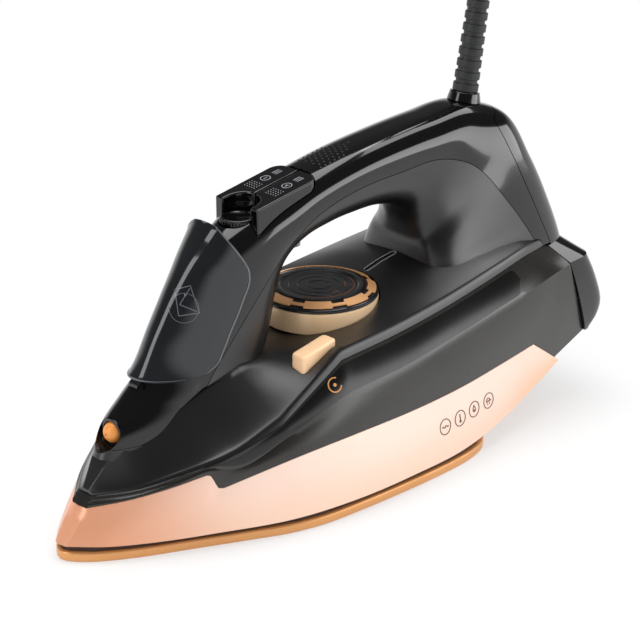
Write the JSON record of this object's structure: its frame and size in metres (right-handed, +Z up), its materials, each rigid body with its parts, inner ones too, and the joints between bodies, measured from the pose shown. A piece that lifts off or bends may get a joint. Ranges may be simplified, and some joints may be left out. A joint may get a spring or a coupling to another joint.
{
  "type": "steam iron",
  "caption": "Steam iron with a loop handle, smoky water tank, hinged fill door, temperature dial, press buttons, copper-toned skirt and a coiled mains lead.",
  "frame": {"origin": "on the soleplate's underside, at the middle of the iron's length and width", "axes": "-X to the nose, +X to the heel, +Z up with the soleplate lying flat"},
  "size_m": [0.3769, 0.195, 0.2767],
  "materials": {
    "rose_gold": "satin metallic rose gold",
    "sole": "copper-coloured ceramic coating",
    "smoke": "smoky see-through",
    "matte_black": "satin",
    "gloss_black": "polished",
    "soft_black": "matte",
    "shield": "matte",
    "cast": "as cast",
    "steel": "plain",
    "ceramic": null,
    "white": "natural",
    "lens": "clear grey"
  },
  "bodies": {
    "iron": {"soleplate": "sole", "heat_shield": "shield", "heating_body": "cast", "heating_element": "steel", "steam_chamber_cover": "steel", "thermostat": "ceramic", "thermal_fuse": "ceramic", "skirt": "rose_gold", "water_tank": "smoke", "tank_floor": "matte_black", "housing": "matte_black", "handle_cover": "gloss_black", "rear_cover": "gloss_black", "rear_screw": "steel", "door_hinge_pin": "steel", "fill_funnel": "white", "pump_bracket": "white", "spray_pump": "white", "steam_pump": "white", "spray_spring": "steel", "steam_spring": "steel", "drip_valve": "white", "spray_nozzle": "rose_gold", "nozzle_bezel": "gloss_black", "spray_hose": "white", "pilot_lens": "lens", "terminal_block": "ceramic", "cord_clamp": "white", "cord_collar": "gloss_black", "power_lead": "soft_black", "lead_coil": "soft_black", "lead_tail": "soft_black", "plug_body": "soft_black", "plug_pin_1": "steel", "plug_pin_2": "steel"},
    "door": {"fill_door": "smoke"},
    "spray_key": {"spray_button": "gloss_black", "spray_piston": "white"},
    "steam_key": {"steam_button": "gloss_black", "steam_piston": "white"},
    "knob": {"steam_knob": "gloss_black", "valve_rod": "steel"},
    "dial": {"dial_ring": "rose_gold", "dial_rim": "matte_black", "dial_disc": "gloss_black", "dial_pads": "rose_gold", "dial_shaft": "steel"},
    "clean_key": {"self_clean_button": "rose_gold"},
    "guard": {"cord_guard": "soft_black"}
  },
  "joints": [
    {"name": "fill_door_hinge", "type": "hinge", "parent": "iron", "child": "door", "pos_m": [-0.10547, 0, 0.06609], "axis": [0, -1, 0], "range_deg": [0, 50]},
    {"name": "spray_button_press", "type": "slide", "parent": "iron", "child": "spray_key", "axis": [0, 0, -1], "range_m": [0, 0.0035], "stiffness_N_per_m": 600, "springref_m": -0.002, "deforming": ["spray_spring"]},
    {"name": "steam_button_press", "type": "slide", "parent": "iron", "child": "steam_key", "axis": [0, 0, -1], "range_m": [0, 0.0035], "stiffness_N_per_m": 600, "springref_m": -0.002, "deforming": ["steam_spring"]},
    {"name": "steam_knob_turn", "type": "hinge", "parent": "iron", "child": "knob", "pos_m": [-0.048, 0, 0.1216], "axis": [0, 0, 1], "range_deg": [0, 90]},
    {"name": "temperature_dial_turn", "type": "hinge", "parent": "iron", "child": "dial", "pos_m": [0, 0, 0.0687], "axis": [0, 0, 1], "range_deg": [0, 270]},
    {"name": "self_clean_press", "type": "slide", "parent": "iron", "child": "clean_key", "axis": [0, 0, -1], "range_m": [0, 0.0025], "stiffness_N_per_m": 800, "springref_m": -0.0015},
    {"name": "cord_guard_swivel", "type": "hinge", "parent": "iron", "child": "guard", "pos_m": [0.092, 0, 0.15], "axis": [0.1833, 0, 0.9831], "range_deg": [-180, 180]}
  ]
}
